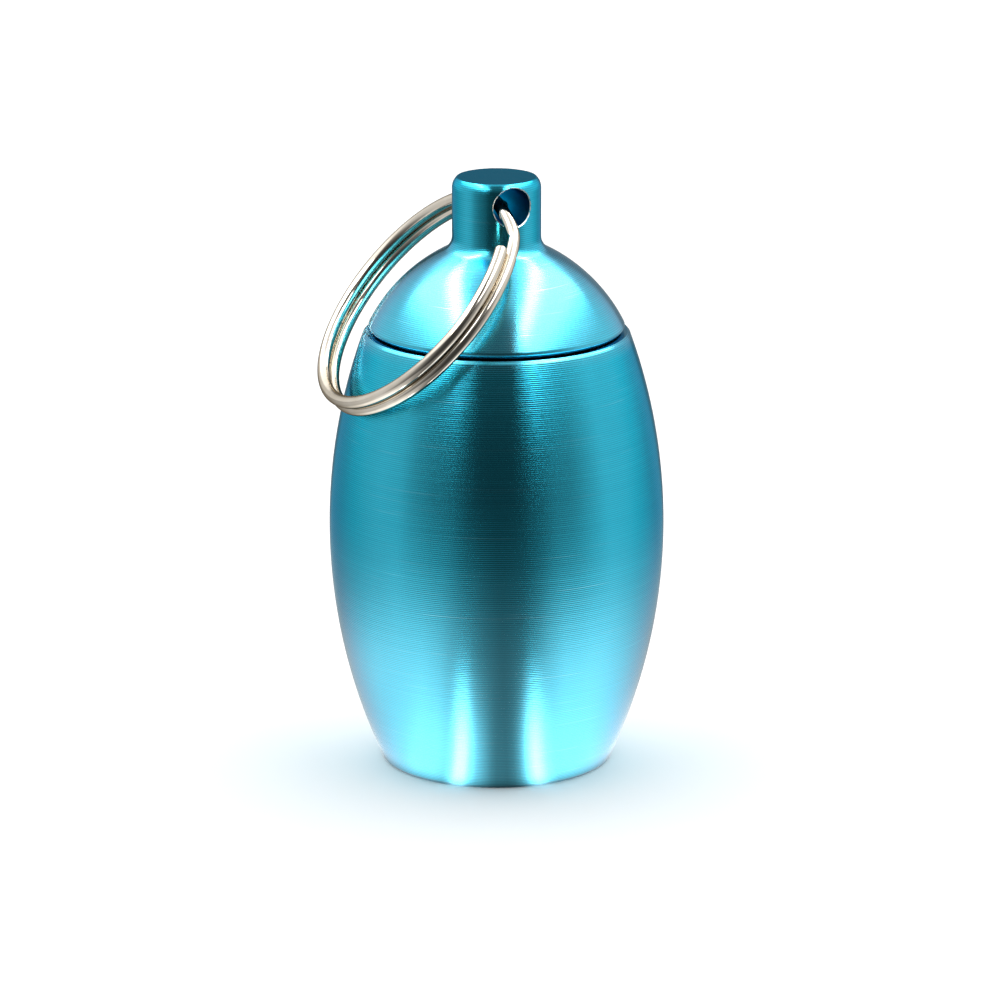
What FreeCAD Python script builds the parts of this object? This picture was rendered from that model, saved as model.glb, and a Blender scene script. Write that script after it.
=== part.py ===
import FreeCAD, Part
import math
import os

# Earplug case for a key ring, turned from aluminium: a barrel-shaped canister, a domed cap that
# screws into it over a rubber seal ring, and a two-turn split ring through the cap's knob.
# Millimetres. +Z is up, and the origin is the middle of the flat base.

# Canister outside: one long arc from the base to the rim
case_d = 25.0
widest_z = 18.1
side_arc_r = 43.1
canister_h = 32.95
base_chamfer = 0.25
rim_chamfer = 0.2

# Canister inside. The rim's wall is what is left outside the seal ring's seat.
rim_wall = 1.161
floor_t = 2.4
floor_fillet_r = 1.0
thread_runout = 0.8

# Screw thread: pitch, depth as a share of the pitch, and turns in mesh. Its diameter, 17, follows
# from the rim and the seal ring, and the solids carry its cylinders only.
thread_pitch = 1.0
thread_depth = 0.541
thread_turns = 4.0
thread_clear = 0.08
spigot_chamfer = 0.3

# Seal ring of round rubber cord, in the groove between the thread and the cap's shoulder
seal_cord_d = 1.1
seal_groove_depth = 1.0
seal_clear = 0.05

# Cap outside: a dome, a small fillet and a knob
seat_gap = 0.1
cap_step = 0.15
cap_chamfer = 0.3
dome_arc_r = 12.85
dome_h = 6.35
foot_fillet_r = 1.2
knob_d = 6.6
knob_h = 5.2
knob_bevel_w = 0.35
knob_bevel_h = 0.75
knob_bevel_bulge = 0.08

# Cap inside
spigot_wall = 2.0
dome_wall = 2.0

# Hole across the knob, level, with its direction turned from the front (-Y) towards +X. The land
# is what is left between the hole and the knob's top.
ring_hole_d = 2.9
ring_hole_land = 0.28
ring_hole_turn = 22.5
ring_hole_edge = 0.08

# Split ring: one round wire in two turns. It lies against the case on the side away from +X.
# Angles run round the ring from the middle of the knob's hole towards the front.
ring_outer_d = 19.65
ring_wire_d = 0.95
ring_coil_gap = 0.02
ring_hole_clear = 0.05
ring_rest_gap = 0.3
ring_first_end = 47.0
ring_joggle_start = 12.0
ring_joggle_end = 36.0
ring_last_end = 4.0
ring_end_chamfer = 0.12
ring_clear_of_knob = 30

# Radii and heights that follow from the sizes above
side_centre_r = case_d / 2 - side_arc_r
rim_r = side_centre_r + math.sqrt(side_arc_r**2 - (canister_h - widest_z) ** 2)
counterbore_r = rim_r - rim_wall
seal_centre_r = counterbore_r - seal_clear - seal_cord_d / 2
groove_r = seal_centre_r - seal_cord_d / 2 - seal_clear
thread_r = groove_r + seal_groove_depth
mouth_r = thread_r + thread_clear
bore_r = thread_r - thread_depth * thread_pitch
cap_bore_r = thread_r - spigot_wall
shoulder_z = canister_h + seat_gap
groove_z = shoulder_z - seal_cord_d - 3 * seal_clear
spigot_z = groove_z - thread_turns * thread_pitch - spigot_chamfer
cap_edge_r = rim_r - cap_step
knob_r = knob_d / 2
case_h = shoulder_z + dome_h + knob_h
hole_r = ring_hole_d / 2
hole_z = case_h - ring_hole_land - hole_r
ring_r = (ring_outer_d - ring_wire_d) / 2
ring_level = (ring_wire_d + ring_coil_gap) / 2


def side_r(z):
    """Radius of the canister's outside at height z."""
    return side_centre_r + math.sqrt(side_arc_r**2 - (z - widest_z) ** 2)


def dome_centre():
    """Centre of the dome's arc, which runs from the cap's edge to the knob."""
    low = FreeCAD.Vector(cap_edge_r, shoulder_z)
    high = FreeCAD.Vector(knob_r, shoulder_z + dome_h)
    chord = high - low
    across = FreeCAD.Vector(-chord.y, chord.x).normalize()
    sagitta_side = math.sqrt(dome_arc_r**2 - (chord.Length / 2) ** 2)
    return (low + high) / 2 + across * sagitta_side


dome_r, dome_z = dome_centre().x, dome_centre().y


def dome_at(z, arc_r=dome_arc_r):
    """Radius of the dome at height z, or of an arc inside it with the same centre."""
    return dome_r + math.sqrt(arc_r**2 - (z - dome_z) ** 2)


def at(r, z):
    """A point of a turned section, r from the axis."""
    return FreeCAD.Vector(r, 0, z)


def line(start, end):
    return Part.LineSegment(start, end).toShape()


def arc(start, middle, end):
    return Part.Arc(start, middle, end).toShape()


def lines(points):
    """Straight edges from each point to the next."""
    return [line(a, b) for a, b in zip(points, points[1:])]


def turned(edges):
    """The solid that a closed section sweeps about the axis."""
    face = Part.Face(Part.Wire(edges))
    return face.revolve(at(0, 0), FreeCAD.Vector(0, 0, 1), 360)


def make_canister():
    foot_z = base_chamfer
    rim_z = canister_h - rim_chamfer
    middle_z = (foot_z + rim_z) / 2
    thread_end_z = spigot_z - thread_runout
    step_z = thread_end_z - (mouth_r - bore_r)
    corner = floor_fillet_r * (1 - math.sqrt(0.5))

    outside = [
        line(at(0, 0), at(side_r(foot_z) - base_chamfer, 0)),
        line(at(side_r(foot_z) - base_chamfer, 0), at(side_r(foot_z), foot_z)),
        arc(at(side_r(foot_z), foot_z), at(side_r(middle_z), middle_z), at(side_r(rim_z), rim_z)),
        line(at(side_r(rim_z), rim_z), at(side_r(rim_z) - rim_chamfer, canister_h)),
    ]
    mouth = lines([
        at(side_r(rim_z) - rim_chamfer, canister_h),
        at(counterbore_r, canister_h),
        at(counterbore_r, groove_z - seal_clear),
        at(mouth_r, groove_z - seal_clear),
        at(mouth_r, thread_end_z),
        at(bore_r, step_z),
        at(bore_r, floor_t + floor_fillet_r),
    ])
    floor = [
        arc(
            at(bore_r, floor_t + floor_fillet_r),
            at(bore_r - corner, floor_t + corner),
            at(bore_r - floor_fillet_r, floor_t),
        ),
        line(at(bore_r - floor_fillet_r, floor_t), at(0, floor_t)),
        line(at(0, floor_t), at(0, 0)),
    ]
    return turned(outside + mouth + floor)


def hole_direction():
    """The knob hole's direction, towards the front."""
    turn = math.radians(ring_hole_turn)
    return FreeCAD.Vector(math.sin(turn), -math.cos(turn), 0)


def make_cap():
    # The foot fillet touches both the knob's side and the dome
    fillet_r = knob_r + foot_fillet_r
    fillet_z = dome_z + math.sqrt((dome_arc_r + foot_fillet_r) ** 2 - (fillet_r - dome_r) ** 2)
    fillet_centre = at(fillet_r, fillet_z)
    towards_dome = (at(dome_r, dome_z) - fillet_centre).normalize()
    towards_knob = FreeCAD.Vector(-1, 0, 0)
    halfway = (towards_dome + towards_knob).normalize()
    dome_top = fillet_centre + towards_dome * foot_fillet_r

    edge_z = shoulder_z + cap_chamfer
    middle_z = (edge_z + dome_top.z) / 2
    bevel_z = case_h - knob_bevel_h
    flat_r = knob_r - knob_bevel_w
    bevel_line = at(flat_r, case_h) - at(knob_r, bevel_z)
    outwards = at(bevel_line.z, -bevel_line.x).normalize()
    bevel_middle = at(knob_r, bevel_z) + bevel_line / 2 + outwards * knob_bevel_bulge

    inner_arc_r = dome_arc_r - dome_wall
    cavity_z = dome_z + math.sqrt(inner_arc_r**2 - (cap_bore_r - dome_r) ** 2)
    apex_z = dome_z + math.sqrt(inner_arc_r**2 - dome_r**2)
    crown_z = (cavity_z + apex_z) / 2

    spigot = lines([
        at(cap_bore_r, cavity_z),
        at(cap_bore_r, spigot_z),
        at(thread_r - spigot_chamfer, spigot_z),
        at(thread_r, spigot_z + spigot_chamfer),
        at(thread_r, groove_z),
        at(groove_r, groove_z),
        at(groove_r, shoulder_z),
        at(dome_at(edge_z) - cap_chamfer, shoulder_z),
        at(dome_at(edge_z), edge_z),
    ])
    knob_foot = fillet_centre + towards_knob * foot_fillet_r
    dome = [
        arc(at(dome_at(edge_z), edge_z), at(dome_at(middle_z), middle_z), dome_top),
        arc(dome_top, fillet_centre + halfway * foot_fillet_r, knob_foot),
    ]
    knob = [
        line(knob_foot, at(knob_r, bevel_z)),
        arc(at(knob_r, bevel_z), bevel_middle, at(flat_r, case_h)),
        line(at(flat_r, case_h), at(0, case_h)),
    ]
    cavity = [
        line(at(0, case_h), at(0, apex_z)),
        arc(at(0, apex_z), at(dome_at(crown_z, inner_arc_r), crown_z), at(cap_bore_r, cavity_z)),
    ]
    body = turned(spigot + dome + knob + cavity)

    along = hole_direction()
    drill = Part.makeCylinder(hole_r, 2 * knob_d, FreeCAD.Vector(0, 0, hole_z) - along * knob_d, along)
    drilled = body.cut(drill).Solids[0]
    round_faces = [f for f in drilled.Faces if isinstance(f.Surface, Part.Cylinder)]
    walls = [f for f in round_faces if abs(f.Surface.Axis.z) < 0.5]
    rims = [e for wall in walls for e in wall.Edges if not isinstance(e.Curve, Part.Line)]
    return drilled.makeChamfer(ring_hole_edge, rims)


def make_seal():
    return Part.makeTorus(
        seal_centre_r,
        seal_cord_d / 2,
        at(0, shoulder_z - seal_clear - seal_cord_d / 2),
    )


def ring_drop():
    """How far the wire's middle lies from the hole's axis when it rests on the hole's mouths."""
    bow = ring_r - math.sqrt(ring_r**2 - knob_r**2)
    room = hole_r - ring_hole_clear - ring_wire_d / 2
    return math.sqrt(room**2 - ring_level**2) - bow


def ring_axes(lean):
    """The ring's own directions: along the hole, out to its far end, and through its middle."""
    up = FreeCAD.Vector(0, 0, 1)
    along = hole_direction()
    out = along.cross(up) * math.cos(lean) - up * math.sin(lean)
    return along, out, along.cross(out)


def ring_point(angle, level, lean):
    """A point of the wire's centre line, with angle in degrees from the middle of the hole."""
    along, out, through = ring_axes(lean)
    swing = math.radians(angle)
    reach = ring_drop() + ring_r * (1 - math.cos(swing))
    centre = FreeCAD.Vector(0, 0, hole_z)
    return centre + out * reach + along * (ring_r * math.sin(swing)) + through * level


def ring_tangent(angle, lean):
    along, out, _ = ring_axes(lean)
    swing = math.radians(angle)
    return out * math.sin(swing) + along * math.cos(swing)


def gap_to_case(point):
    """Distance from a point beside the case to the canister's side or the cap's dome."""
    r = math.hypot(point.x, point.y)
    if point.z < shoulder_z:
        return math.hypot(r - side_centre_r, point.z - widest_z) - side_arc_r
    return math.hypot(r - dome_r, point.z - dome_z) - dome_arc_r


def ring_gap(lean):
    """Smallest gap between the leaning ring's wire and the case."""
    angles = range(ring_clear_of_knob, 360 - ring_clear_of_knob, 5)
    points = [ring_point(a, level, lean) for a in angles for level in (-ring_level, ring_level)]
    return min(gap_to_case(p) for p in points) - ring_wire_d / 2


def ring_lean():
    """Angle below level at which the ring comes to rest beside the case, in radians."""
    free, touching = 0.0, math.pi / 2
    while touching - free > 1e-6:
        trial = (free + touching) / 2
        if ring_gap(trial) > ring_rest_gap:
            free = trial
        else:
            touching = trial
    return free


def bent_wire(path):
    """A stretch of the ring's wire along an arc."""
    start, end = path.ParameterRange
    circle = Part.makeCircle(ring_wire_d / 2, path.valueAt(start), path.tangentAt(start))
    section = Part.Face(Part.Wire(circle))
    return section.revolve(path.Curve.Center, path.Curve.Axis, math.degrees(end - start))


def arc_from(start, heading, end):
    """The arc that leaves start in the given direction and ends at end."""
    chord = end - start
    across = (chord - heading * chord.dot(heading)).normalize()
    radius = chord.Length**2 / (2 * chord.dot(across))
    centre = start + across * radius
    middle = centre + ((start + end) / 2 - centre).normalize() * radius
    return arc(start, middle, end)


def joggle(start, start_heading, end, end_heading):
    """Two arcs that meet smoothly and carry the wire from one turn to the next."""
    chord = end - start
    both = start_heading + end_heading
    spread = 2 * (1 - start_heading.dot(end_heading))
    root = math.sqrt(chord.dot(both) ** 2 + spread * chord.dot(chord))
    handle = (root - chord.dot(both)) / spread
    meeting = (start + end + (start_heading - end_heading) * handle) / 2
    first = arc_from(start, start_heading, meeting)
    heading = first.tangentAt(first.LastParameter)
    return [first, arc_from(meeting, heading, end)]


def make_split_ring():
    lean = ring_lean()

    def turn_of_wire(start, end, level):
        return arc(*[ring_point(a, level, lean) for a in (start, (start + end) / 2, end)])

    first_turn = turn_of_wire(ring_first_end, 360 + ring_joggle_start, -ring_level)
    crossing = joggle(
        ring_point(ring_joggle_start, -ring_level, lean),
        ring_tangent(ring_joggle_start, lean),
        ring_point(ring_joggle_end, ring_level, lean),
        ring_tangent(ring_joggle_end, lean),
    )
    last_turn = turn_of_wire(ring_joggle_end, 360 + ring_last_end, ring_level)

    stretches = [bent_wire(a) for a in [first_turn] + crossing + [last_turn]]
    wire = stretches[0].multiFuse(stretches[1:]).removeSplitter()
    ends = [
        ring_point(ring_first_end, -ring_level, lean),
        ring_point(ring_last_end, ring_level, lean),
    ]
    rims = [e for e in wire.Edges if min((e.CenterOfMass - p).Length for p in ends) < ring_wire_d / 10]
    return wire.makeChamfer(ring_end_chamfer, rims)


os.makedirs("parts", exist_ok=True)

pieces = {
    "canister": make_canister(),
    "screw_cap": make_cap(),
    "seal_ring": make_seal(),
    "split_ring": make_split_ring(),
}

for name, shape in pieces.items():
    shape.exportStep("parts/" + name + ".step")
    print(name, shape.ShapeType, shape.isValid(), len(shape.Solids), round(shape.Volume, 2))
print("ring lean in degrees", round(math.degrees(ring_lean()), 3), "drop", round(ring_drop(), 3))
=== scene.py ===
import math

import bpy
from mathutils import Matrix, Vector


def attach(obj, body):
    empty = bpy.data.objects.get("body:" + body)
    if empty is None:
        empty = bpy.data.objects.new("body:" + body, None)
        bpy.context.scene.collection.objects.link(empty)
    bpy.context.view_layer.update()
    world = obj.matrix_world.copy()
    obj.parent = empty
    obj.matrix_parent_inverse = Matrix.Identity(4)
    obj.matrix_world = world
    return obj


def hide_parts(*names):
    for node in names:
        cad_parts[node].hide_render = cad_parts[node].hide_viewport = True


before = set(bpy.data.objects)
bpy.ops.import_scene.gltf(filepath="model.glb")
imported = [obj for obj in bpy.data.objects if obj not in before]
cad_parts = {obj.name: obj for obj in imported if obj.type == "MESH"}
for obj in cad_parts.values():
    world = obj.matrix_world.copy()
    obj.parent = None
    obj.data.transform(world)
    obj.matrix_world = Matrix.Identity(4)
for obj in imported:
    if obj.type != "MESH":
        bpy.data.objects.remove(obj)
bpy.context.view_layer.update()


# Canister: the barrel-shaped body, one piece turned from aluminium bar with a blind bore and a fine
# thread inside its mouth. It was turned with a fine even feed, left as cut, and anodised turquoise,
# so its skin is a stack of hair-fine rings under a hard clear oxide.
MM = 0.001

# Lengths are in millimetres, and heights run up from the base.
case_d = 25.0
widest_z = 18.1
side_arc_r = 43.1
canister_h = 32.95
base_chamfer = 0.25
rim_chamfer = 0.2
seal_seat_r = 8.70
seal_seat_z = 31.75
thread_root_r = 8.58
thread_end_z = 26.7
bore_r = 7.959
floor_t = 2.4
floor_fillet_r = 1.0
thread_pitch = 1.0
thread_crest = 0.125
thread_flank = 0.354
thread_step = 0.05
broken_edge = 0.05
arc_margin = 0.4  # an arc's points keep this far from the eased corners at its ends
crease = math.radians(35)  # an edge that turns more than this stays crisp


def side_r(z):
    """Radius of the canister's outside at height z."""
    return case_d / 2 - side_arc_r + math.sqrt(side_arc_r**2 - (z - widest_z) ** 2)


def eased(corners, steps=4):
    """Section points (r, z, thread depth), with each corner rounded by its own radius, and a point
    on each side of it that keeps the surface flat up to there."""
    points = []
    for i, (r, z, ease, depth) in enumerate(corners):
        here = Vector((r, z))
        if not ease:
            points.append((r, z, depth))
            continue
        back = (Vector(corners[i - 1][:2]) - here).normalized()
        on = (Vector(corners[i + 1][:2]) - here).normalized()
        half = back.angle(on) / 2
        reach = ease / math.tan(half)
        centre = here + (back + on).normalized() * ease / math.sin(half)
        spokes = [here + back * reach - centre, here + on * reach - centre]
        points.append((*(here + back * (reach + ease / 2)), depth))
        for step in range(steps + 1):
            spoke = spokes[0].lerp(spokes[1], step / steps).normalized() * ease
            points.append((*(centre + spoke), depth))
        points.append((*(here + on * (reach + ease / 2)), depth))
    return points


def along_arc(centre_r, centre_z, radius, first_z, last_z, steps):
    """Section points on an arc that bulges away from the axis, between two heights."""
    heights = [first_z + (last_z - first_z) * i / steps for i in range(steps + 1)]
    return [(centre_r + math.sqrt(radius**2 - (z - centre_z) ** 2), z, 0, 0) for z in heights]


def fillet(centre_r, centre_z, radius, first_deg, last_deg, steps=8):
    """Section points on a fillet between two directions, in degrees from outwards."""
    turns = [math.radians(first_deg + (last_deg - first_deg) * i / steps) for i in range(steps + 1)]
    return [(centre_r + radius * math.cos(t), centre_z + radius * math.sin(t), 0, 0) for t in turns]


def threaded(radius, core_r, first_z, last_z):
    """Section points up a threaded wall, whose thread is cut to the core radius."""
    steps = round((last_z - first_z) / thread_step)
    heights = [first_z + (last_z - first_z) * i / steps for i in range(steps + 1)]
    return [(radius, z, 0, radius - core_r) for z in heights]


def section_mesh(name, points):
    """The half section as a string of vertices, with its thread depth and its length so far."""
    mesh = bpy.data.meshes.new(name)
    places = [Vector((r * MM, 0, z * MM)) for r, z, _ in points]
    mesh.from_pydata(places, [(i, i + 1) for i in range(len(places) - 1)], [])
    depth = mesh.attributes.new("thread_depth", "FLOAT", "POINT")
    run = mesh.attributes.new("across_feed", "FLOAT", "POINT")
    so_far = 0
    for i, place in enumerate(places):
        so_far += (place - places[max(i - 1, 0)]).length
        depth.data[i].value = points[i][2] * MM
        run.data[i].value = so_far
    return mesh


def add_node(tree, kind, inputs=(), **settings):
    """Adds a node with its settings. An input that is a socket is linked, any other is a value."""
    node = tree.nodes.new(kind)
    for name, value in settings.items():
        setattr(node, name, value)
    for key, value in dict(inputs).items():
        if isinstance(value, bpy.types.NodeSocket):
            tree.links.new(value, node.inputs[key])
        else:
            node.inputs[key].default_value = value
    return node


def node_tree(name, sizes):
    """A geometry tree with a geometry input, named inputs for its sizes, and one output."""
    tree = bpy.data.node_groups.new(name, "GeometryNodeTree")
    tree.interface.new_socket("Geometry", in_out="OUTPUT", socket_type="NodeSocketGeometry")
    tree.interface.new_socket("Geometry", in_out="INPUT", socket_type="NodeSocketGeometry")
    for size, kind in sizes.items():
        tree.interface.new_socket(size, in_out="INPUT", socket_type=kind)
    return tree, tree.nodes.new("NodeGroupInput").outputs, tree.nodes.new("NodeGroupOutput").inputs


def turning_tree():
    """Turns a half section about Z, and cuts a right-hand thread where the section asks for one."""
    tree, given, result = node_tree("turned_on_lathe", {
        "Steps Round": "NodeSocketInt",
        "Thread Pitch": "NodeSocketFloat",
        "Thread Crest": "NodeSocketFloat",
        "Thread Flank": "NodeSocketFloat",
        "Finish": "NodeSocketMaterial",
    })
    section = given["Geometry"]
    rows = add_node(
        tree, "GeometryNodeAttributeDomainSize", {"Geometry": section}
    ).outputs["Point Count"]
    columns = add_node(
        tree, "ShaderNodeMath", {0: given["Steps Round"], 1: 1.0}, operation="ADD"
    ).outputs[0]
    sheet = add_node(
        tree, "GeometryNodeMeshGrid", {"Vertices X": rows, "Vertices Y": columns}
    ).outputs["Mesh"]

    index = add_node(tree, "GeometryNodeInputIndex").outputs[0]
    share = add_node(tree, "ShaderNodeMath", {0: index, 1: columns}, operation="DIVIDE").outputs[0]
    row = add_node(tree, "ShaderNodeMath", {0: share}, operation="FLOOR").outputs[0]
    column = add_node(tree, "ShaderNodeMath", {0: index, 1: columns}, operation="MODULO").outputs[0]
    turn = add_node(
        tree, "ShaderNodeMath", {0: column, 1: given["Steps Round"]}, operation="DIVIDE"
    ).outputs[0]
    angle = add_node(tree, "ShaderNodeMath", {0: turn, 1: math.tau}, operation="MULTIPLY").outputs[0]

    place = add_node(tree, "GeometryNodeInputPosition").outputs[0]
    on_section = add_node(
        tree, "GeometryNodeSampleIndex",
        {"Geometry": section, "Value": place, "Index": row}, data_type="FLOAT_VECTOR",
    ).outputs[0]
    named_depth = add_node(tree, "GeometryNodeInputNamedAttribute", {"Name": "thread_depth"}).outputs[0]
    depth = add_node(
        tree, "GeometryNodeSampleIndex", {"Geometry": section, "Value": named_depth, "Index": row}
    ).outputs[0]
    named_run = add_node(tree, "GeometryNodeInputNamedAttribute", {"Name": "across_feed"}).outputs[0]
    run = add_node(
        tree, "GeometryNodeSampleIndex", {"Geometry": section, "Value": named_run, "Index": row}
    ).outputs[0]

    parts = add_node(tree, "ShaderNodeSeparateXYZ", {0: on_section}).outputs
    climb = add_node(
        tree, "ShaderNodeMath", {0: turn, 1: given["Thread Pitch"]}, operation="MULTIPLY"
    ).outputs[0]
    level = add_node(tree, "ShaderNodeMath", {0: parts["Z"], 1: climb}, operation="SUBTRACT").outputs[0]
    half_pitch = add_node(
        tree, "ShaderNodeMath", {0: given["Thread Pitch"], 1: 0.5}, operation="MULTIPLY"
    ).outputs[0]
    from_crest = add_node(
        tree, "ShaderNodeMath", {0: level, 1: half_pitch}, operation="PINGPONG"
    ).outputs[0]
    crest_edge = add_node(
        tree, "ShaderNodeMath", {0: given["Thread Crest"], 1: 0.5}, operation="MULTIPLY"
    ).outputs[0]
    root_edge = add_node(
        tree, "ShaderNodeMath", {0: crest_edge, 1: given["Thread Flank"]}, operation="ADD"
    ).outputs[0]
    cut = add_node(tree, "ShaderNodeMapRange", {
        "Value": from_crest, "From Min": crest_edge, "From Max": root_edge,
        "To Min": 0.0, "To Max": depth,
    }).outputs[0]
    radius = add_node(tree, "ShaderNodeMath", {0: parts["X"], 1: cut}, operation="SUBTRACT").outputs[0]
    spoke = add_node(tree, "ShaderNodeCombineXYZ", {"X": radius, "Z": parts["Z"]}).outputs[0]
    turned = add_node(
        tree, "ShaderNodeVectorRotate", {"Vector": spoke, "Angle": angle}, rotation_type="Z_AXIS"
    ).outputs[0]

    shaped = add_node(tree, "GeometryNodeSetPosition", {"Geometry": sheet, "Position": turned}).outputs[0]
    marked = add_node(
        tree, "GeometryNodeStoreNamedAttribute",
        {"Geometry": shaped, "Name": "across_feed", "Value": run}, data_type="FLOAT", domain="POINT",
    ).outputs[0]
    # The weld joins the first column to the last, and each point on the axis to its copies.
    weld = 0.001 * MM
    closed = add_node(
        tree, "GeometryNodeMergeByDistance", {"Geometry": marked, "Distance": weld}
    ).outputs[0]
    smooth = add_node(
        tree, "GeometryNodeSetShadeSmooth", {"Geometry": closed, "Shade Smooth": True}
    ).outputs[0]
    real = add_node(tree, "GeometryNodeRealizeInstances", {"Geometry": smooth}).outputs[0]
    dressed = add_node(
        tree, "GeometryNodeSetMaterial", {"Geometry": real, "Material": given["Finish"]}
    ).outputs[0]
    tree.links.new(dressed, result["Geometry"])
    return tree


def applied(worker):
    """The plain mesh that an object's modifiers make, after which the object is gone."""
    bpy.context.view_layer.update()
    depsgraph = bpy.context.evaluated_depsgraph_get()
    mesh = bpy.data.meshes.new_from_object(worker.evaluated_get(depsgraph))
    bpy.data.objects.remove(worker)
    return mesh


def placed(name, mesh):
    """An object at the origin that shows a mesh."""
    piece = bpy.data.objects.new(name, mesh)
    bpy.context.scene.collection.objects.link(piece)
    return piece


def made_by(tree, start, sizes):
    """The mesh that a geometry tree makes from a start mesh and its named sizes."""
    worker = placed("worker", start)
    modifier = worker.modifiers.new("made", "NODES")
    modifier.node_group = tree
    for item in tree.interface.items_tree:
        if item.in_out == "INPUT" and item.name in sizes:
            modifier[item.identifier] = sizes[item.name]
    return applied(worker)


def srgb(hex_colour):
    """A hex colour as linear red, green, blue and alpha."""
    channels = [int(hex_colour[i:i + 2], 16) / 255 for i in (1, 3, 5)]
    linear = [c / 12.92 if c <= 0.04045 else ((c + 0.055) / 1.055) ** 2.4 for c in channels]
    return (*linear, 1.0)


def material_tree(name):
    """A new material whose node tree holds nothing but the output."""
    material = bpy.data.materials.new(name)
    material.use_nodes = True
    tree = material.node_tree
    tree.nodes.clear()
    return material, tree, tree.nodes.new("ShaderNodeOutputMaterial")


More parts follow.
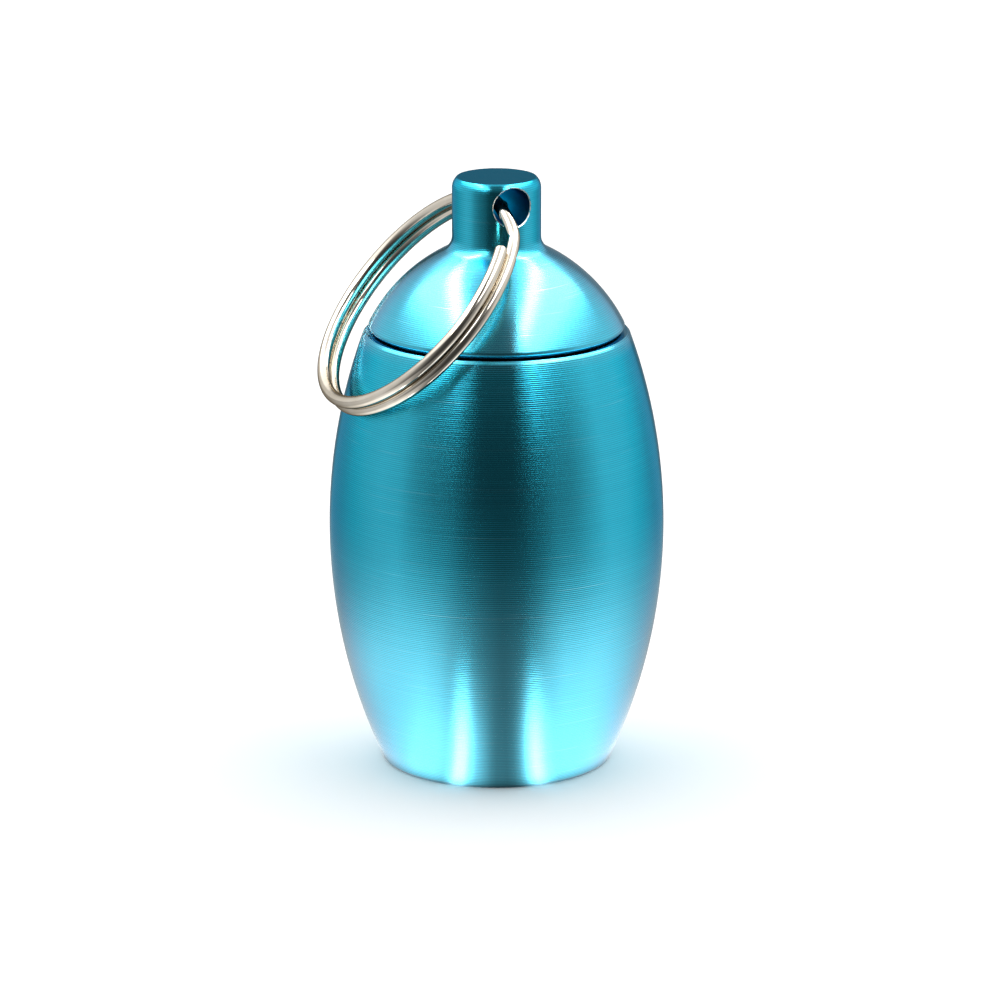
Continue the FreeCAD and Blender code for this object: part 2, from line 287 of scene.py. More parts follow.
def turned_anodised_aluminium(name, ring_depth):
    """Turquoise dye under a clear oxide on metal that keeps its turning rings. The rings stretch
    each light into an upright streak, and the satin etch gives a fine sparkle."""
    material, tree, output = material_tree(name)
    feed = 0.15 * MM
    # A real etch is finer than this. It is drawn coarser, so that its sparkle shows at all.
    etch = 0.07 * MM
    etch_depth = 0.005 * MM
    dye_cloud = 9 * MM

    run = add_node(tree, "ShaderNodeAttribute", attribute_name="across_feed").outputs["Fac"]
    rings = add_node(
        tree, "ShaderNodeMath", {0: run, 1: math.tau / feed}, operation="MULTIPLY"
    ).outputs[0]
    wave = add_node(tree, "ShaderNodeMath", {0: rings}, operation="SINE").outputs[0]
    chatter = add_node(
        tree, "ShaderNodeTexNoise", {"W": rings, "Scale": 0.3, "Detail": 1.0}, noise_dimensions="1D",
    ).outputs[0]
    # The knob's flat top is faced finer than the rest is turned: it has no rings to see, and it
    # mirrors the room evenly.
    facing = add_node(tree, "ShaderNodeTexCoord").outputs["Normal"]
    upright = add_node(tree, "ShaderNodeSeparateXYZ", {0: facing}).outputs["Z"]
    off_flat = add_node(
        tree, "ShaderNodeMath", {0: upright, 1: 0.99}, operation="LESS_THAN"
    ).outputs[0]
    swing = add_node(tree, "ShaderNodeMath", {0: off_flat, 1: wave}, operation="MULTIPLY").outputs[0]
    cut = add_node(
        tree, "ShaderNodeMath", {0: chatter, 1: swing, 2: 0.5}, operation="MULTIPLY_ADD"
    ).outputs[0]
    place = add_node(tree, "ShaderNodeTexCoord").outputs["Object"]
    grain = add_node(
        tree, "ShaderNodeTexNoise", {"Vector": place, "Scale": 1 / etch, "Detail": 2.0},
    ).outputs[0]
    drift = add_node(
        tree, "ShaderNodeTexNoise", {"Vector": place, "Scale": 1 / dye_cloud, "Detail": 2.0},
    ).outputs[0]

    dye = add_node(tree, "ShaderNodeMix", {
        0: cut, 6: srgb("#1E8EAA"), 7: srgb("#38C2DC"),
    }, data_type="RGBA").outputs[2]
    dye_drift = add_node(tree, "ShaderNodeMix", {
        0: drift, 6: dye, 7: srgb("#28AAC4"),
    }, data_type="RGBA").outputs[2]

    # Pocket scuffs: faint hairlines that run round the case, a little out of level. Each is about
    # 8 mm long, and there is room for twelve side by side in a millimetre.
    askew = add_node(tree, "ShaderNodeMapping", {
        "Vector": place, "Rotation": (0, math.radians(4), 0), "Scale": (0.13 / MM, 0.13 / MM, 12 / MM),
    }).outputs[0]
    scuffs = add_node(
        tree, "ShaderNodeTexNoise", {"Vector": askew, "Scale": 1.0, "Detail": 1.0}
    ).outputs[0]
    hairline = add_node(tree, "ShaderNodeMapRange", {
        "Value": scuffs, "From Min": 0.69, "From Max": 0.78, "To Max": 0.25,
    }).outputs[0]
    scuffed_dye = add_node(tree, "ShaderNodeMix", {
        0: hairline, 6: dye_drift, 7: srgb("#A8DCE8"),
    }, data_type="RGBA").outputs[2]

    # Painted sheen: the clear coat is made stronger at the foot and on the dome, and weaker round the
    # belly and on the knob, by height alone, so that the highlights turn whiter at the foot and dome.
    clear_below_z, dull_above_z = 8 * MM, 21 * MM
    gap_z, dome_from_z = 32 * MM, 33 * MM
    dome_to_z, knob_from_z = 39 * MM, 40.2 * MM
    dull, clear, dome_more = 0.15, 0.95, 0.5
    height = add_node(tree, "ShaderNodeSeparateXYZ", {0: place}).outputs["Z"]
    foot_gloss = add_node(tree, "ShaderNodeMapRange", {
        "Value": height, "From Min": dull_above_z, "From Max": clear_below_z,
        "To Min": dull, "To Max": clear,
    }, interpolation_type="SMOOTHSTEP").outputs[0]
    dome_gloss = add_node(tree, "ShaderNodeMapRange", {
        "Value": height, "From Min": gap_z, "From Max": dome_from_z, "To Max": dome_more,
    }).outputs[0]
    knob_sheen_fade = add_node(tree, "ShaderNodeMapRange", {
        "Value": height, "From Min": dome_to_z, "From Max": knob_from_z, "To Max": dome_more,
    }).outputs[0]
    above = add_node(
        tree, "ShaderNodeMath", {0: dome_gloss, 1: knob_sheen_fade}, operation="SUBTRACT"
    ).outputs[0]
    painted_sheen = add_node(tree, "ShaderNodeMath", {0: foot_gloss, 1: above}, operation="ADD").outputs[0]

    rough = add_node(tree, "ShaderNodeBump", {
        "Height": grain, "Strength": 0.4, "Distance": etch_depth,
    }).outputs[0]
    ringed = add_node(tree, "ShaderNodeBump", {
        "Height": cut, "Strength": 1.0, "Distance": ring_depth, "Normal": rough,
    }).outputs[0]
    round_axis = add_node(tree, "ShaderNodeTangent", direction_type="RADIAL", axis="Z").outputs[0]
    tangent = add_node(tree, "ShaderNodeMix", {
        0: off_flat, 4: (0, 1, 0), 5: round_axis,
    }, data_type="VECTOR").outputs[1]
    skin = add_node(tree, "ShaderNodeBsdfPrincipled", {
        "Base Color": scuffed_dye,
        "Metallic": 1.0,
        "Roughness": 0.16,
        "Normal": ringed,
        "Anisotropic": 1.0,
        "Anisotropic Rotation": 0.25,
        "Tangent": tangent,
        "Specular Tint": srgb("#48B8D4"),
        "Coat Weight": painted_sheen,
        "Coat Roughness": 0.16,
        "Coat IOR": 1.77,
        "Coat Normal": ringed,
    }).outputs[0]
    tree.links.new(skin, output.inputs["Surface"])
    return material


lathe = turning_tree()
ringed_anodised = turned_anodised_aluminium("ringed_anodised_aluminium", 0.006 * MM)
lathe_sizes = {
    "Steps Round": 256,
    "Thread Pitch": thread_pitch * MM,
    "Thread Crest": thread_crest * MM,
    "Thread Flank": thread_flank * MM,
}

foot_r = side_r(base_chamfer)
rim_z = canister_h - rim_chamfer
side_centre_r = case_d / 2 - side_arc_r
canister_corners = [
    (0, floor_t, 0, 0),
    *fillet(bore_r - floor_fillet_r, floor_t + floor_fillet_r, floor_fillet_r, -90, 0),
    (bore_r, thread_end_z - (thread_root_r - bore_r), broken_edge, 0),
    *threaded(thread_root_r, bore_r, thread_end_z, seal_seat_z),
    (seal_seat_r, seal_seat_z, 0, 0),
    (seal_seat_r, canister_h, broken_edge, 0),
    (side_r(rim_z) - rim_chamfer, canister_h, broken_edge, 0),
    (side_r(rim_z), rim_z, broken_edge, 0),
    *reversed(along_arc(
        side_centre_r, widest_z, side_arc_r, base_chamfer + arc_margin, rim_z - arc_margin, 72
    )),
    (foot_r, base_chamfer, broken_edge, 0),
    (foot_r - base_chamfer, 0, broken_edge, 0),
    (0, 0, 0, 0),
]
canister_section = section_mesh("canister_section", eased(canister_corners))
canister = placed("turned_canister", made_by(
    lathe, canister_section, {**lathe_sizes, "Finish": ringed_anodised}
))
canister.data.set_sharp_from_angle(angle=crease)
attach(canister, "canister")
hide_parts("canister")


# Seal ring: a round cord of black nitrile rubber in the groove above the thread. It is squeezed
# between the two turned pieces, and shows only when the cap is off.
seal_cord_d = 1.1
seal_centre_r = 8.10
seal_z = 32.45


def moulded_black_rubber():
    """Matt rubber, moulded and slightly dusty, so it catches the light as a soft grey edge."""
    material, tree, output = material_tree("moulded_black_rubber")
    place = add_node(tree, "ShaderNodeTexCoord").outputs["Object"]
    bloom = add_node(
        tree, "ShaderNodeTexNoise", {"Vector": place, "Scale": 1 / (0.6 * MM)}
    ).outputs[0]
    pores = add_node(
        tree, "ShaderNodeTexNoise", {"Vector": place, "Scale": 1 / (0.08 * MM)}
    ).outputs[0]
    colour = add_node(tree, "ShaderNodeMix", {
        0: bloom, 6: srgb("#161718"), 7: srgb("#242527"),
    }, data_type="RGBA").outputs[2]
    dull = add_node(tree, "ShaderNodeMapRange", {
        "Value": bloom, "To Min": 0.5, "To Max": 0.75,
    }).outputs[0]
    skin = add_node(tree, "ShaderNodeBump", {
        "Height": pores, "Strength": 0.5, "Distance": 0.01 * MM,
    }).outputs[0]
    rubber = add_node(tree, "ShaderNodeBsdfPrincipled", {
        "Base Color": colour, "Roughness": dull, "Normal": skin, "IOR": 1.52,
    }).outputs[0]
    tree.links.new(rubber, output.inputs["Surface"])
    return material


cord_round = fillet(seal_centre_r, seal_z, seal_cord_d / 2, 360, 0, 48)
seal_section = section_mesh("seal_section", eased(cord_round))
rubber = moulded_black_rubber()
seal = placed("rubber_seal_ring", made_by(lathe, seal_section, {**lathe_sizes, "Finish": rubber}))
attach(seal, "seal")
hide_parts("seal_ring")


# Screw cap: the dome, its knob and the hollow threaded spigot, turned as one piece from the same
# bar and anodised with the canister. One hole is drilled level across the knob for the split ring.
shoulder_z = 33.05
cap_chamfer = 0.3
lip_ease = 0.25
dome_arc_r = 12.85
dome_h = 6.35
cap_step = 0.15
foot_fillet_r = 1.2
knob_r = 3.3
case_h = 44.6
knob_flat_r = 2.95
knob_bevel_h = 0.75
knob_bevel_bulge = 0.08
cap_bore_r = 6.5
dome_wall = 2.0
spigot_z = 27.5
spigot_chamfer = 0.3
seal_groove_r = 7.5
seal_groove_z = 31.8
male_thread_r = 8.5
male_core_r = 7.887
hole_r = 1.45
hole_z = 42.87
hole_edge = 0.08
hole_turn = math.radians(22.5)
dome_margin, foot_margin, apex_margin = 0.3, 0.15, 0.05  # as the canister's arc_margin

cap_edge_r = side_r(canister_h) - cap_step
low, high = Vector((cap_edge_r, shoulder_z)), Vector((knob_r, shoulder_z + dome_h))
chord = high - low
across = Vector((-chord.y, chord.x)).normalized()
dome_centre = (low + high) / 2 + across * math.sqrt(dome_arc_r**2 - (chord.length / 2) ** 2)
dome_r, dome_z = dome_centre


def dome_at(z, arc_r=dome_arc_r):
    """Radius of the dome at height z, or of an arc inside it with the same centre."""
    return dome_r + math.sqrt(arc_r**2 - (z - dome_z) ** 2)


fillet_r = knob_r + foot_fillet_r
fillet_z = dome_z + math.sqrt((dome_arc_r + foot_fillet_r) ** 2 - (fillet_r - dome_r) ** 2)
to_dome = math.degrees(math.atan2(dome_z - fillet_z, dome_r - fillet_r))
dome_top_z = fillet_z + foot_fillet_r * math.sin(math.radians(to_dome))
inner_arc_r = dome_arc_r - dome_wall
cavity_z = dome_z + math.sqrt(inner_arc_r**2 - (cap_bore_r - dome_r) ** 2)
apex_z = dome_z + math.sqrt(inner_arc_r**2 - dome_r**2)
edge_z = shoulder_z + cap_chamfer

# The knob's bevel bulges a little: it is drawn in four steps, and stands out most halfway.
bevel_foot = Vector((knob_r, case_h - knob_bevel_h))
bevel_top = Vector((knob_flat_r, case_h))
bevel_out = Vector((knob_bevel_h, knob_r - knob_flat_r)).normalized()
knob_bevel = []
for share in (0, 0.25, 0.5, 0.75, 1):
    bulge = 4 * knob_bevel_bulge * share * (1 - share)
    knob_bevel.append((*(bevel_foot.lerp(bevel_top, share) + bevel_out * bulge), 0, 0))

chamfer_low_r = male_thread_r - spigot_chamfer
chamfer_mid_r = male_thread_r - spigot_chamfer / 2
cap_corners = [
    (0, apex_z, 0, 0),
    *reversed(along_arc(
        dome_r, dome_z, inner_arc_r, cavity_z + dome_margin, apex_z - apex_margin, 16
    )),
    (cap_bore_r, cavity_z, broken_edge, 0),
    (cap_bore_r, spigot_z, broken_edge, 0),
    (chamfer_low_r, spigot_z, 0, chamfer_low_r - male_core_r),
    (chamfer_mid_r, spigot_z + spigot_chamfer / 2, 0, chamfer_mid_r - male_core_r),
    *threaded(male_thread_r, male_core_r, spigot_z + spigot_chamfer, seal_groove_z),
    (seal_groove_r, seal_groove_z, broken_edge, 0),
    (seal_groove_r, shoulder_z, broken_edge, 0),
    (dome_at(edge_z) - cap_chamfer, shoulder_z, broken_edge, 0),
    (dome_at(edge_z), edge_z, lip_ease, 0),
    *along_arc(dome_r, dome_z, dome_arc_r, edge_z + dome_margin, dome_top_z - foot_margin, 48),
    *fillet(fillet_r, fillet_z, foot_fillet_r, to_dome + 360, 180),
    (knob_r, case_h - knob_bevel_h, broken_edge, 0),
    *knob_bevel[1:-1],
    (knob_flat_r, case_h, 2 * broken_edge, 0),
    (0, case_h, 0, 0),
]
cap_section = section_mesh("cap_section", eased(cap_corners))
satin_anodised = turned_anodised_aluminium("satin_anodised_aluminium", 0.0025 * MM)
cap_blank = placed("cap_blank", made_by(
    lathe, cap_section, {**lathe_sizes, "Finish": satin_anodised}
))


def knob_surface(sideways, up):
    """How far the knob's skin lies from its axis along the hole, beside and above the hole's axis."""
    z = hole_z + up
    radius = knob_r
    for (r0, z0, *_), (r1, z1, *_) in zip(knob_bevel, knob_bevel[1:]):
        if z > z0:
            radius = r0 + (r1 - r0) * (z - z0) / (z1 - z0)
    return math.sqrt(radius**2 - sideways**2)


def drilled_wall_painted_shade():
    """The drilled wall, dyed with the rest and left rough, and given a darker navy as painted shade
    inside the narrow hole.
    """
    material, tree, output = material_tree("drilled_wall_painted_shade")
    place = add_node(tree, "ShaderNodeTexCoord").outputs["Object"]
    tearing = add_node(
        tree, "ShaderNodeTexNoise", {"Vector": place, "Scale": 1 / (0.1 * MM), "Detail": 2.0}
    ).outputs[0]
    # Painted shade: both dye colours are darker than the body's, for the shade inside the hole.
    dye = add_node(tree, "ShaderNodeMix", {
        0: tearing, 6: srgb("#1A7296"), 7: srgb("#2488AE"),
    }, data_type="RGBA").outputs[2]
    torn = add_node(tree, "ShaderNodeBump", {
        "Height": tearing, "Strength": 0.4, "Distance": 0.006 * MM,
    }).outputs[0]
    wall = add_node(tree, "ShaderNodeBsdfPrincipled", {
        "Base Color": dye, "Metallic": 1.0, "Roughness": 0.36, "Normal": torn,
        "Specular Tint": srgb("#3C98BC"),
    }).outputs[0]
    tree.links.new(wall, output.inputs["Surface"])
    return material


def chipped_rim_painted_highlight():
    """The hole's countersink: a thin pale line of painted highlight in pale cyan, with near-white nicks
    of bare aluminium where the oxide has chipped from the sharp rim.
    """
    material, tree, output = material_tree("chipped_rim_painted_highlight")
    place = add_node(tree, "ShaderNodeTexCoord").outputs["Object"]
    nicks = add_node(
        tree, "ShaderNodeTexNoise", {"Vector": place, "Scale": 1 / (0.25 * MM), "Detail": 2.0}
    ).outputs[0]
    left = add_node(tree, "ShaderNodeMapRange", {
        "Value": nicks, "From Min": 0.42, "From Max": 0.5,
    }).outputs[0]
    # Painted highlight: the countersink's pale cyan is lighter than the body's dye.
    colour = add_node(tree, "ShaderNodeMix", {
        0: left, 6: srgb("#6FBFD2"), 7: srgb("#F0F2F2"),
    }, data_type="RGBA").outputs[2]
    edge = add_node(tree, "ShaderNodeBsdfPrincipled", {
        "Base Color": colour, "Metallic": 1.0, "Roughness": 0.5,
    }).outputs[0]
    tree.links.new(edge, output.inputs["Surface"])
    return material


def drill_mesh(steps=96):
    """What the drill and the countersink take out: a round bar that flares where it meets the skin."""
    loops = []
    for side in (-1, 1):
        ends = []
        for step in range(steps):
            turn = math.tau * step / steps
            ray = Vector((math.cos(turn), math.sin(turn)))
            inner = ray * hole_r
            rim = ray * (hole_r + hole_edge)
            throat = knob_surface(*inner) - hole_edge
            skin = knob_surface(*rim)
            flare = ray * (hole_r + 2 * hole_edge)
            ends.append([(inner, throat), (flare, 2 * skin - throat), (flare, 2 * knob_r)])
        rows = [[(row[i][0], side * row[i][1]) for row in ends] for i in range(3)]
        loops += rows if side > 0 else rows[::-1]
    forward = Vector((math.sin(hole_turn), -math.cos(hole_turn), 0))
    sideways = Vector((math.cos(hole_turn), math.sin(hole_turn), 0))
    corners = []
    for loop in loops:
        for spot, reach in loop:
            corners.append((forward * reach + sideways * spot.x + Vector((0, 0, hole_z + spot.y))) * MM)
    walls = []
    for row in range(len(loops) - 1):
        for step in range(steps):
            here, on = row * steps + step, row * steps + (step + 1) % steps
            walls.append((here, on, on + steps, here + steps))
    last = len(corners) - steps
    caps = [tuple(range(steps))[::-1], tuple(range(last, last + steps))]
    mesh = bpy.data.meshes.new("drill")
    mesh.from_pydata(corners, [], walls + caps)
    mesh.materials.append(drilled_wall_painted_shade())
    mesh.materials.append(chipped_rim_painted_highlight())
    # Of the five rows of walls, the second and the fourth are the countersinks.
    for i, face in enumerate(mesh.polygons):
        face.use_smooth = True
        face.material_index = int(i // steps in (1, 3))
    return mesh


drill = placed("drill", drill_mesh())
cross_hole = cap_blank.modifiers.new("cross_hole", "BOOLEAN")
cross_hole.operation = "DIFFERENCE"
cross_hole.solver = "EXACT"
cross_hole.material_mode = "TRANSFER"
cross_hole.object = drill
cap = placed("turned_screw_cap", applied(cap_blank))
bpy.data.objects.remove(drill)

# The Boolean leaves the cut knob's vertices without their place across the feed, so the knob's
# outer skin takes it from the section again.
on_section = zip(cap_section.vertices, cap_section.attributes["across_feed"].data)
skin_run = [(spot.co.z, run.value) for spot, run in on_section if spot.co.z > dome_top_z * MM]
for spot, run in zip(cap.data.vertices, cap.data.attributes["across_feed"].data):
    if math.hypot(spot.co.x, spot.co.y) > 0.9 * knob_flat_r * MM:
        for (z0, run0), (z1, run1) in zip(skin_run, skin_run[1:]):
            if z0 <= spot.co.z < z1:
                run.value = run0 + (run1 - run0) * (spot.co.z - z0) / (z1 - z0)

cap.data.set_sharp_from_angle(angle=crease)
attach(cap, "cap")
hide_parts("screw_cap")


# Split ring: one length of round steel wire coiled in two turns, with a joggle where it passes from
# one turn to the next, cut square at both ends and nickel plated. It hangs through the knob's hole.
ring_r = 9.35
ring_level = 0.485
ring_wire_d = 0.95
ring_drop = 0.18595
ring_lean = math.radians(48.839)
# Where the wire starts, changes turns and ends, in degrees round from the middle of the hole.
ring_first_end = 47.0
ring_joggle_start = 12.0
ring_joggle_end = 36.0
ring_last_end = 4.0
ring_end_chamfer = 0.12


def coiling_tree():
    """Coils a wire in two flat turns with a joggle between them, and breaks its cut ends."""
    tree, given, result = node_tree("coiled_split_ring", {
        "Steps Along": "NodeSocketInt",
        "Steps Round Wire": "NodeSocketInt",
        "Ring Radius": "NodeSocketFloat",
        "Wire Radius": "NodeSocketFloat",
        "Level": "NodeSocketFloat",
        "First Angle": "NodeSocketFloat",
        "Last Angle": "NodeSocketFloat",
        "Joggle From": "NodeSocketFloat",
        "Joggle To": "NodeSocketFloat",
        "End Chamfer": "NodeSocketFloat",
        "Finish": "NodeSocketMaterial",
    })
    straight = add_node(tree, "GeometryNodeCurvePrimitiveLine").outputs[0]
    dotted = add_node(
        tree, "GeometryNodeResampleCurve", {"Curve": straight, "Count": given["Steps Along"]}
    ).outputs[0]
    share = add_node(tree, "GeometryNodeSplineParameter").outputs["Factor"]
    angle = add_node(tree, "ShaderNodeMapRange", {
        "Value": share, "To Min": given["First Angle"], "To Max": given["Last Angle"],
    }).outputs[0]
    cosine = add_node(tree, "ShaderNodeMath", {0: angle}, operation="COSINE").outputs[0]
    sine = add_node(tree, "ShaderNodeMath", {0: angle}, operation="SINE").outputs[0]
    less = add_node(tree, "ShaderNodeMath", {0: 1.0, 1: cosine}, operation="SUBTRACT").outputs[0]
    out = add_node(
        tree, "ShaderNodeMath", {0: less, 1: given["Ring Radius"]}, operation="MULTIPLY"
    ).outputs[0]
    along = add_node(
        tree, "ShaderNodeMath", {0: sine, 1: given["Ring Radius"]}, operation="MULTIPLY"
    ).outputs[0]
    below = add_node(
        tree, "ShaderNodeMath", {0: given["Level"], 1: -1.0}, operation="MULTIPLY"
    ).outputs[0]
    level = add_node(tree, "ShaderNodeMapRange", {
        "Value": angle, "From Min": given["Joggle From"], "From Max": given["Joggle To"],
        "To Min": below, "To Max": given["Level"],
    }, interpolation_type="SMOOTHSTEP").outputs[0]
    spot = add_node(tree, "ShaderNodeCombineXYZ", {"X": along, "Y": out, "Z": level}).outputs[0]
    coiled = add_node(tree, "GeometryNodeSetPosition", {"Geometry": dotted, "Position": spot}).outputs[0]

    length = add_node(tree, "GeometryNodeSplineParameter").outputs["Length"]
    whole = add_node(tree, "GeometryNodeSplineLength").outputs["Length"]
    rest = add_node(tree, "ShaderNodeMath", {0: whole, 1: length}, operation="SUBTRACT").outputs[0]
    to_end = add_node(tree, "ShaderNodeMath", {0: length, 1: rest}, operation="MINIMUM").outputs[0]
    slim = add_node(
        tree, "ShaderNodeMath", {0: given["Wire Radius"], 1: given["End Chamfer"]}, operation="SUBTRACT"
    ).outputs[0]
    thick = add_node(tree, "ShaderNodeMapRange", {
        "Value": to_end, "From Min": 0.0, "From Max": given["End Chamfer"],
        "To Min": slim, "To Max": given["Wire Radius"],
    }).outputs[0]
    round_wire = add_node(tree, "GeometryNodeCurvePrimitiveCircle", {
        "Resolution": given["Steps Round Wire"], "Radius": 1.0,
    }).outputs[0]
    swept = add_node(tree, "GeometryNodeCurveToMesh", {
        "Curve": coiled, "Profile Curve": round_wire, "Scale": thick, "Fill Caps": True,
    }).outputs[0]
    smooth = add_node(
        tree, "GeometryNodeSetShadeSmooth", {"Geometry": swept, "Shade Smooth": True}
    ).outputs[0]
    real = add_node(tree, "GeometryNodeRealizeInstances", {"Geometry": smooth}).outputs[0]
    dressed = add_node(
        tree, "GeometryNodeSetMaterial", {"Geometry": real, "Material": given["Finish"]}
    ).outputs[0]
    tree.links.new(dressed, result["Geometry"])
    return tree


def nickel_plated_wire():
    """Bright warm nickel on drawn wire: clear, slightly wavy reflections that run along the wire and
    turn darker at its edges."""
    material, tree, output = material_tree("nickel_plated_wire")
    place = add_node(tree, "ShaderNodeTexCoord").outputs["Object"]
    waviness = add_node(
        tree, "ShaderNodeTexNoise", {"Vector": place, "Scale": 1 / (0.9 * MM), "Detail": 1.0}
    ).outputs[0]
    scuffs = add_node(
        tree, "ShaderNodeTexNoise", {"Vector": place, "Scale": 1 / (0.12 * MM), "Detail": 2.0}
    ).outputs[0]
    colour = add_node(tree, "ShaderNodeMix", {
        0: waviness, 6: srgb("#D8D2C7"), 7: srgb("#CBC2B3"),
    }, data_type="RGBA").outputs[2]
    polish = add_node(tree, "ShaderNodeMapRange", {
        "Value": scuffs, "From Min": 0.35, "From Max": 0.75, "To Min": 0.05, "To Max": 0.13,
    }).outputs[0]
    skin = add_node(tree, "ShaderNodeBump", {
        "Height": waviness, "Strength": 0.4, "Distance": 0.015 * MM,
    }).outputs[0]
    nickel = add_node(tree, "ShaderNodeBsdfPrincipled", {
        "Base Color": colour, "Metallic": 1.0, "Roughness": polish, "Normal": skin,
        "Specular Tint": srgb("#8E867A"),
    }).outputs[0]
    tree.links.new(nickel, output.inputs["Surface"])
    return material


ring_mesh = made_by(coiling_tree(), bpy.data.meshes.new("wire_start"), {
    "Steps Along": 1500,
    "Steps Round Wire": 36,
    "Ring Radius": ring_r * MM,
    "Wire Radius": ring_wire_d / 2 * MM,
    "Level": ring_level * MM,
    "First Angle": math.radians(ring_first_end),
    "Last Angle": math.radians(720 + ring_last_end),
    "Joggle From": math.radians(360 + ring_joggle_start),
    "Joggle To": math.radians(360 + ring_joggle_end),
    "End Chamfer": ring_end_chamfer * MM,
    "Finish": nickel_plated_wire(),
})
ring_along = Vector((math.sin(hole_turn), -math.cos(hole_turn), 0))
ring_aside = ring_along.cross(Vector((0, 0, 1)))
ring_out = ring_aside * math.cos(ring_lean) - Vector((0, 0, math.sin(ring_lean)))
ring_through = ring_along.cross(ring_out)
hung = Matrix((ring_along, ring_out, ring_through)).transposed().to_4x4()
hung.translation = (Vector((0, 0, hole_z)) + ring_out * ring_drop) * MM
ring_mesh.transform(hung)
ring_mesh.set_sharp_from_angle(angle=crease)
ring = placed("nickel_split_ring", ring_mesh)
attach(ring, "ring")
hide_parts("split_ring")


# Studio: a matt white table, two softboxes and two narrow strip lights above on the left and the
# right, and the camera in front, a little above the case. The room is dark behind the camera, and
# the metal shows that as its dark middle band.
camera_aside = 0.255 * MM
camera_distance = 432.02 * MM
camera_height = 138.365 * MM
camera_dip = 0.2677  # in radians below level
camera_data = bpy.data.cameras.new("camera")
camera_data.sensor_width = 36.0
camera_data.lens = 215.62
camera_data.clip_start = 0.01
camera_data.clip_end = 20.0
camera = bpy.data.objects.new("camera", camera_data)
camera.location = (camera_aside, -camera_distance, camera_height)
camera.rotation_euler = (math.pi / 2 - camera_dip, 0, 0)
scene = bpy.context.scene
scene.collection.objects.link(camera)
scene.camera = camera
scene.view_settings.view_transform = "Standard"


def round_the_case(tree, place):
    """How far round the case a place or direction lies: 0 behind, 0.5 in front, and on to 1 behind."""
    parts = add_node(tree, "ShaderNodeSeparateXYZ", {0: place}).outputs
    frontwards = add_node(
        tree, "ShaderNodeMath", {0: parts["Y"], 1: -1.0}, operation="MULTIPLY"
    ).outputs[0]
    turn = add_node(
        tree, "ShaderNodeMath", {0: parts["X"], 1: frontwards}, operation="ARCTAN2"
    ).outputs[0]
    return add_node(tree, "ShaderNodeMapRange", {
        "Value": turn, "From Min": -math.pi, "From Max": math.pi,
    }).outputs[0]


def followed(tree, turn, levels):
    """A light level that follows pairs of a turn, in degrees from the front to the right, and a
    level. A ramp's colours end at 1, so it holds each level as a share of the brightest."""
    brightest = 16.0
    ramp = add_node(tree, "ShaderNodeValToRGB", {0: turn})
    stops = ramp.color_ramp.elements
    stops.remove(stops[1])
    for i, (degrees, level) in enumerate(levels):
        share = (degrees + 180) / 360
        stop = stops.new(share) if i else stops[0]
        stop.position = share
        stop.color = (*[level / brightest] * 3, 1)
    return add_node(
        tree, "ShaderNodeMath", {0: ramp.outputs[0], 1: brightest}, operation="MULTIPLY"
    ).outputs[0]


def faded(tree, value, start, end, low, high):
    """A smooth change from one level to another as a value goes from start to end."""
    return add_node(tree, "ShaderNodeMapRange", {
        "Value": value, "From Min": start, "From Max": end, "To Min": low, "To Max": high,
    }, interpolation_type="SMOOTHSTEP").outputs[0]


# What the metal sees in each direction: pairs of degrees from the front to the right, and a light
# level where 1 is white. The levels were worked out from how bright the photographed case is at
# each turn, and then adjusted by comparing renders. The room first, low and high.
low_room = [
    (-180, 0.33), (-163, 0.4), (-155, 0.9), (-140, 1.1), (-120, 1.1), (-99, 0.9), (-84, 0.85),
    (-70, 0.75), (-58, 0.45), (-44, 0.24), (-30, 0.15), (-20, 0.08), (-10, 0.06), (10, 0.06),
    (20, 0.07), (30, 0.09), (41, 0.26), (54, 0.36), (66, 0.62), (80, 0.95), (99, 1.0), (120, 1.15),
    (140, 1.1), (152, 0.9), (160, 0.4), (180, 0.33),
]
high_room = [
    (-180, 2.0), (-130, 2.1), (-100, 1.8), (-50, 1.5), (-36, 1.0), (-27, 0.55), (-19, 0.25), (0, 0.2),
    (18, 0.22), (26, 0.5), (36, 1.3), (50, 1.6), (100, 1.8), (130, 2.1), (180, 2.0),
]
# Then the table, from its far end in to the foot of the case.
table_far_off = [
    (-180, 0.33), (-163, 0.33), (-157, 0.36), (-151, 0.7), (-128, 0.6), (-99, 0.75), (-84, 0.85),
    (-70, 0.75), (-58, 0.45), (-44, 0.24), (-30, 0.15), (-20, 0.08), (-10, 0.06), (10, 0.06),
    (20, 0.07), (30, 0.09), (41, 0.26), (54, 0.36), (66, 0.62), (80, 0.95), (99, 0.95), (118, 0.76),
    (132, 0.63), (142, 0.76), (152, 0.72), (156, 0.35), (180, 0.33),
]
table_further_out = [
    (-180, 0.33), (-150, 0.6), (-130, 0.6), (-95, 0.7), (-80, 0.75), (-66, 1.0), (-54, 0.95),
    (-42, 0.8), (-31, 0.7), (-20, 0.42), (0, 0.2), (18, 0.2), (27, 0.3), (40, 0.6), (51, 0.78),
    (65, 1.0), (81, 1.1), (94, 1.0), (108, 0.88), (130, 0.8), (150, 0.6), (180, 0.33),
]
table_near_the_case = [
    (-180, 0.3), (-150, 0.45), (-120, 1.0), (-85, 1.6), (-46, 1.7), (-35, 1.4), (-27, 1.0),
    (-18, 0.65), (-7, 0.38), (4, 0.25), (16, 0.35), (24, 0.7), (32, 1.3), (43, 1.8), (62, 1.9),
    (72, 1.8), (88, 1.5), (104, 1.2), (130, 0.8), (150, 0.45), (180, 0.3),
]
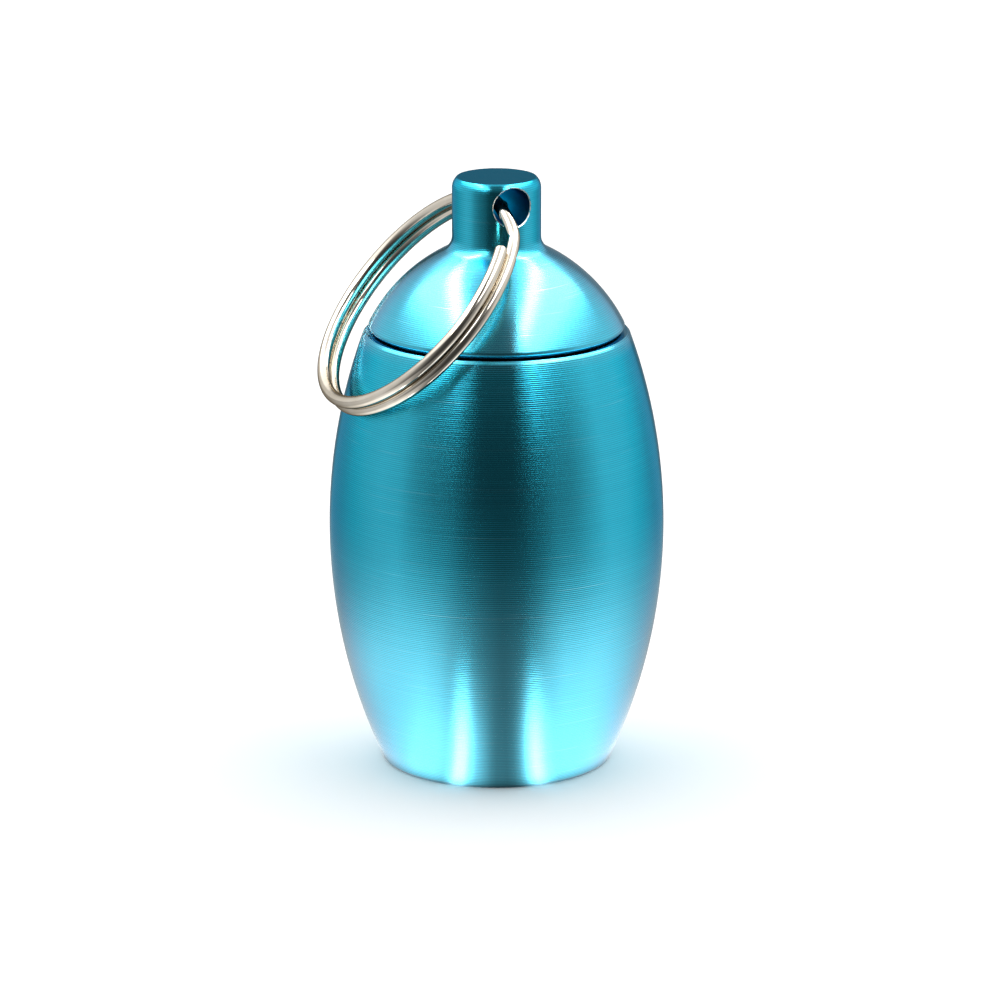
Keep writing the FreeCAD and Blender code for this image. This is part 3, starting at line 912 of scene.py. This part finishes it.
table_at_the_foot = [
    (-180, 0.3), (-160, 0.3), (-140, 0.5), (-110, 1.0), (-80, 1.5), (-60, 2.0), (-48, 2.5),
    (-36, 2.5), (-29, 2.1), (-26, 3.0), (-22, 8.0), (-18, 7.5), (-15, 3.0), (-11, 1.6), (-7, 1.0),
    (-3, 0.55), (0, 0.4), (6, 0.35), (10, 0.5), (13, 0.9), (16, 2.0), (19, 5.0), (22, 8.0),
    (25, 6.5), (29, 3.4), (34, 2.5), (60, 2.3), (90, 1.7), (120, 1.2), (145, 0.5), (160, 0.3),
    (180, 0.3),
]


def matt_white_table():
    """A matt white table that keeps the case's soft shadow. For the metal alone it glows as a painted
    reflection
    at light levels of its own: bright close to the case on the left and the right, and dark in front and
    behind."""
    material, tree, output = material_tree("matt_white_table")
    material.cycles.emission_sampling = "NONE"
    white = add_node(tree, "ShaderNodeBsdfDiffuse", {"Color": srgb("#FAFAFA")}).outputs[0]
    place = add_node(tree, "ShaderNodeTexCoord").outputs["Object"]
    turn = round_the_case(tree, place)
    reach = add_node(tree, "ShaderNodeVectorMath", {0: place}, operation="LENGTH").outputs["Value"]
    level = followed(tree, turn, table_at_the_foot)
    for start, end, levels in (
        (11 * MM, 24 * MM, table_near_the_case),
        (28 * MM, 48 * MM, table_further_out),
        (55 * MM, 90 * MM, table_far_off),
    ):
        further = faded(tree, reach, start, end, 0.0, 1.0)
        outer = followed(tree, turn, levels)
        level = add_node(tree, "ShaderNodeMix", {0: further, 2: level, 3: outer}).outputs[0]
    contact_shadow = faded(tree, reach, 8.2 * MM, 9.6 * MM, 0.2, 1.0)
    level = add_node(
        tree, "ShaderNodeMath", {0: level, 1: contact_shadow}, operation="MULTIPLY"
    ).outputs[0]
    # Painted reflection: the glow that only the metal sees on the table.
    painted_reflection = add_node(tree, "ShaderNodeEmission", {"Strength": level}).outputs[0]
    ray = add_node(tree, "ShaderNodeLightPath").outputs["Is Glossy Ray"]
    table = add_node(tree, "ShaderNodeMixShader", {0: ray, 1: white, 2: painted_reflection}).outputs[0]
    tree.links.new(table, output.inputs["Surface"])
    return material


floor_reach = 3.0
floor_mesh = bpy.data.meshes.new("floor")
floor_mesh.from_pydata(
    [(x * floor_reach, y * floor_reach, 0) for x, y in ((-1, -1), (1, -1), (1, 1), (-1, 1))],
    [], [(0, 1, 2, 3)],
)
floor_mesh.materials.append(matt_white_table())
floor = bpy.data.objects.new("floor", floor_mesh)
scene.collection.objects.link(floor)

world = bpy.data.worlds.new("studio")
world.use_nodes = True
scene.world = world
room = world.node_tree
direction = add_node(room, "ShaderNodeTexCoord").outputs["Generated"]
height = add_node(room, "ShaderNodeSeparateXYZ", {0: direction}).outputs["Z"]
turn = round_the_case(room, direction)
lower = followed(room, turn, low_room)
upper = followed(room, turn, high_room)
# Height is the sine of how far a direction rises above level.
above_lower = faded(room, height, 0.38, 0.56, 0.0, 1.0)
above_upper = faded(room, height, 0.92, 0.99, 0.0, 1.0)
ceiling, backdrop = 1.1, 1.0
wall = add_node(room, "ShaderNodeMix", {0: above_lower, 2: lower, 3: upper}).outputs[0]
room_level = add_node(room, "ShaderNodeMix", {0: above_upper, 2: wall, 3: ceiling}).outputs[0]
seen_straight = add_node(room, "ShaderNodeLightPath").outputs["Is Camera Ray"]
strength = add_node(room, "ShaderNodeMix", {0: seen_straight, 2: room_level, 3: backdrop}).outputs[0]
room.links.new(strength, room.nodes["Background"].inputs["Strength"])
room.nodes["Background"].inputs["Color"].default_value = (1, 1, 1, 1)

# Each lamp faces the middle of the case. Its place and its size are in degrees, as seen from there.
# The lamps show in the gloss alone, and the room lights all that is matt.
lamp_distance = 0.8
case_middle = Vector((0, 0, 22 * MM))
for name, azimuth, elevation, wide, tall, radiance in (
    ("softbox_left", -82, 54, 84, 24, 3.2),
    ("softbox_right", 84, 54, 90, 24, 3.2),
    ("strip_left", -95, 62, 50, 8, 14.0),
    ("strip_right", 88, 66, 64, 7, 14.0),
):
    lamp = bpy.data.lights.new(name, "AREA")
    lamp.shape = "RECTANGLE"
    lamp.size = 2 * lamp_distance * math.tan(math.radians(wide / 2))
    lamp.size_y = 2 * lamp_distance * math.tan(math.radians(tall / 2))
    lamp.energy = radiance * math.pi * lamp.size * lamp.size_y
    holder = bpy.data.objects.new(name, lamp)
    aside, rise = math.radians(azimuth), math.radians(elevation)
    level_way = Vector((math.sin(aside), -math.cos(aside), 0))
    towards = level_way * math.cos(rise) + Vector((0, 0, math.sin(rise)))
    holder.location = case_middle + towards * lamp_distance
    holder.rotation_euler = towards.to_track_quat("Z", "Y").to_euler()
    holder.visible_diffuse = False
    scene.collection.objects.link(holder)
